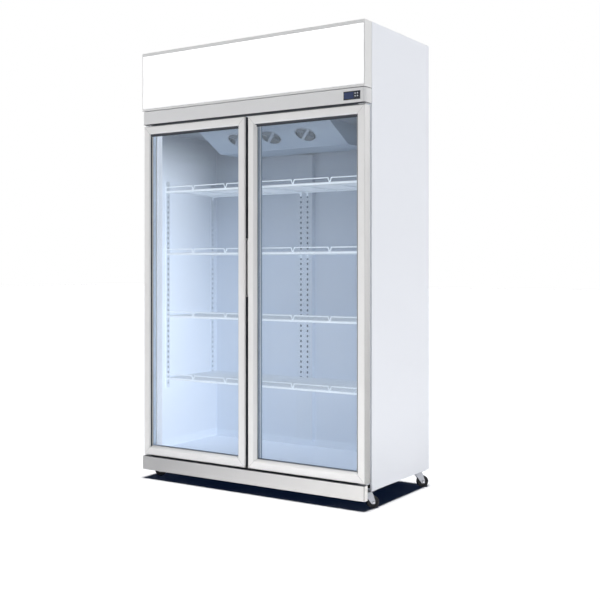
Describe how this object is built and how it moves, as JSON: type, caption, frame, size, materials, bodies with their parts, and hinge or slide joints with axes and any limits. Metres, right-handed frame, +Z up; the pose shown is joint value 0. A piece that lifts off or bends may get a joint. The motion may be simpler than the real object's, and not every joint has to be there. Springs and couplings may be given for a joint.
{
  "type": "glass door refrigerator",
  "caption": "Upright display refrigerator with framed glass swing doors, wire shelves, a lit header sign, a digital controller and swivel castors.",
  "frame": {"origin": "on the floor under the middle of the cabinet", "axes": "+X to the right seen from the front, +Y to the back (doors face -Y), +Z up"},
  "size_m": [1.2323, 0.6, 2.021],
  "materials": {
    "white_steel": "satin white powder coat",
    "silver_aluminium": "satin anodised",
    "silver_sheet": "silver satin paint",
    "white_liner": "smooth white",
    "foam": "matt expanded foam",
    "jamb_white": "satin moulded",
    "clear_glass": "clear polished",
    "grey_rubber": "matt soft",
    "light_acrylic": "translucent white",
    "lamp_glass": "white coated tube",
    "black_plastic": "fine textured",
    "display_lens": "clear lens over dark blue",
    "key_white": "satin",
    "grip_plastic": "satin moulded",
    "white_wire": "white plastic coat",
    "zinc_steel": "bright zinc",
    "castor_tyre": "matt moulded",
    "fin_aluminium": "bare fins",
    "black_enamel": "gloss black enamel",
    "fan_plastic": "moulded"
  },
  "bodies": {
    "cabinet": {"back_panel": "white_steel", "base_pan": "white_steel", "cable_gland": "black_plastic", "castor_plates": "zinc_steel", "centre_mullion": "jamb_white", "compressor": "black_enamel", "condenser_coil": "fin_aluminium", "condenser_fan_shroud": "black_enamel", "condensing_unit_tray": "zinc_steel", "control_fascia": "silver_sheet", "controller_display": "display_lens", "controller_housing": "black_plastic", "door_jambs": "jamb_white", "evaporator_coil": "fin_aluminium", "evaporator_cover": "white_steel", "evaporator_fan_guards": "fan_plastic", "evaporator_fan_motors": "fan_plastic", "hinge_brackets": "zinc_steel", "inner_liner": "white_liner", "insulation_foam": "foam", "kick_plate": "silver_sheet", "left_side_panel": "white_steel", "rear_shelf_duct": "white_wire", "right_side_panel": "white_steel", "shelf_clips": "white_wire", "shelf_guards": "white_wire", "shelf_level_1": "white_wire", "shelf_level_2": "white_wire", "shelf_level_3": "white_wire", "shelf_level_4": "white_wire", "side_shelf_standards": "white_wire", "sign_frame": "silver_aluminium", "sign_lamps": "lamp_glass", "sign_panel": "light_acrylic", "sign_reflector": "white_wire", "top_cover": "white_steel"},
    "left_door": {"left_door_frame": "silver_aluminium", "left_door_gasket": "grey_rubber", "left_door_glass": "clear_glass", "left_door_grip": "grip_plastic"},
    "right_door": {"right_door_frame": "silver_aluminium", "right_door_gasket": "grey_rubber", "right_door_glass": "clear_glass", "right_door_grip": "grip_plastic"},
    "upper_left_key": {"upper_left_key": "key_white"},
    "upper_right_key": {"upper_right_key": "key_white"},
    "lower_left_key": {"lower_left_key": "key_white"},
    "lower_right_key": {"lower_right_key": "key_white"},
    "evaporator_fan_left": {"evaporator_fan_left": "fan_plastic"},
    "evaporator_fan_centre": {"evaporator_fan_centre": "fan_plastic"},
    "evaporator_fan_right": {"evaporator_fan_right": "fan_plastic"},
    "condenser_fan": {"condenser_fan": "fan_plastic"},
    "front_left_fork": {"front_left_fork": "zinc_steel"},
    "front_left_wheel": {"front_left_wheel": "castor_tyre"},
    "front_right_fork": {"front_right_fork": "zinc_steel"},
    "front_right_wheel": {"front_right_wheel": "castor_tyre"},
    "rear_left_fork": {"rear_left_fork": "zinc_steel"},
    "rear_left_wheel": {"rear_left_wheel": "castor_tyre"},
    "rear_right_fork": {"rear_right_fork": "zinc_steel"},
    "rear_right_wheel": {"rear_right_wheel": "castor_tyre"}
  },
  "joints": [
    {"name": "left_door_hinge", "type": "hinge", "parent": "cabinet", "child": "left_door", "pos_m": [-0.589, -0.27, 0.8925], "axis": [0, 0, -1], "range_deg": [0, 100]},
    {"name": "right_door_hinge", "type": "hinge", "parent": "cabinet", "child": "right_door", "pos_m": [0.589, -0.27, 0.8925], "axis": [0, 0, 1], "range_deg": [0, 100]},
    {"name": "upper_left_key_press", "type": "slide", "parent": "cabinet", "child": "upper_left_key", "axis": [0, 1, 0], "range_m": [0, 0.0008], "stiffness_N_per_m": 400},
    {"name": "upper_right_key_press", "type": "slide", "parent": "cabinet", "child": "upper_right_key", "axis": [0, 1, 0], "range_m": [0, 0.0008], "stiffness_N_per_m": 400},
    {"name": "lower_left_key_press", "type": "slide", "parent": "cabinet", "child": "lower_left_key", "axis": [0, 1, 0], "range_m": [0, 0.0008], "stiffness_N_per_m": 400},
    {"name": "lower_right_key_press", "type": "slide", "parent": "cabinet", "child": "lower_right_key", "axis": [0, 1, 0], "range_m": [0, 0.0008], "stiffness_N_per_m": 400},
    {"name": "evaporator_fan_left_spin", "type": "hinge", "parent": "cabinet", "child": "evaporator_fan_left", "pos_m": [-0.189, -0.0975, 1.602], "axis": [0, -0.481, -0.8767], "continuous": true},
    {"name": "evaporator_fan_centre_spin", "type": "hinge", "parent": "cabinet", "child": "evaporator_fan_centre", "pos_m": [0, -0.0975, 1.602], "axis": [0, -0.481, -0.8767], "continuous": true},
    {"name": "evaporator_fan_right_spin", "type": "hinge", "parent": "cabinet", "child": "evaporator_fan_right", "pos_m": [0.189, -0.0975, 1.602], "axis": [0, -0.481, -0.8767], "continuous": true},
    {"name": "condenser_fan_spin", "type": "hinge", "parent": "cabinet", "child": "condenser_fan", "pos_m": [0.18, 0.1746, 1.8265], "axis": [0, 1, 0], "continuous": true},
    {"name": "front_left_swivel", "type": "hinge", "parent": "cabinet", "child": "front_left_fork", "pos_m": [-0.582, -0.23, 0.065], "axis": [0, 0, 1], "continuous": true},
    {"name": "front_left_roll", "type": "hinge", "parent": "front_left_fork", "child": "front_left_wheel", "pos_m": [-0.56644, -0.21444, 0.026], "axis": [0.7071, -0.7071, 0], "continuous": true},
    {"name": "front_right_swivel", "type": "hinge", "parent": "cabinet", "child": "front_right_fork", "pos_m": [0.582, -0.23, 0.065], "axis": [0, 0, 1], "continuous": true},
    {"name": "front_right_roll", "type": "hinge", "parent": "front_right_fork", "child": "front_right_wheel", "pos_m": [0.59756, -0.21444, 0.026], "axis": [0.7071, -0.7071, 0], "continuous": true},
    {"name": "rear_left_swivel", "type": "hinge", "parent": "cabinet", "child": "rear_left_fork", "pos_m": [-0.582, 0.239, 0.065], "axis": [0, 0, 1], "continuous": true},
    {"name": "rear_left_roll", "type": "hinge", "parent": "rear_left_fork", "child": "rear_left_wheel", "pos_m": [-0.56644, 0.25456, 0.026], "axis": [0.7071, -0.7071, 0], "continuous": true},
    {"name": "rear_right_swivel", "type": "hinge", "parent": "cabinet", "child": "rear_right_fork", "pos_m": [0.582, 0.239, 0.065], "axis": [0, 0, 1], "continuous": true},
    {"name": "rear_right_roll", "type": "hinge", "parent": "rear_right_fork", "child": "rear_right_wheel", "pos_m": [0.59756, 0.25456, 0.026], "axis": [0.7071, -0.7071, 0], "continuous": true}
  ]
}
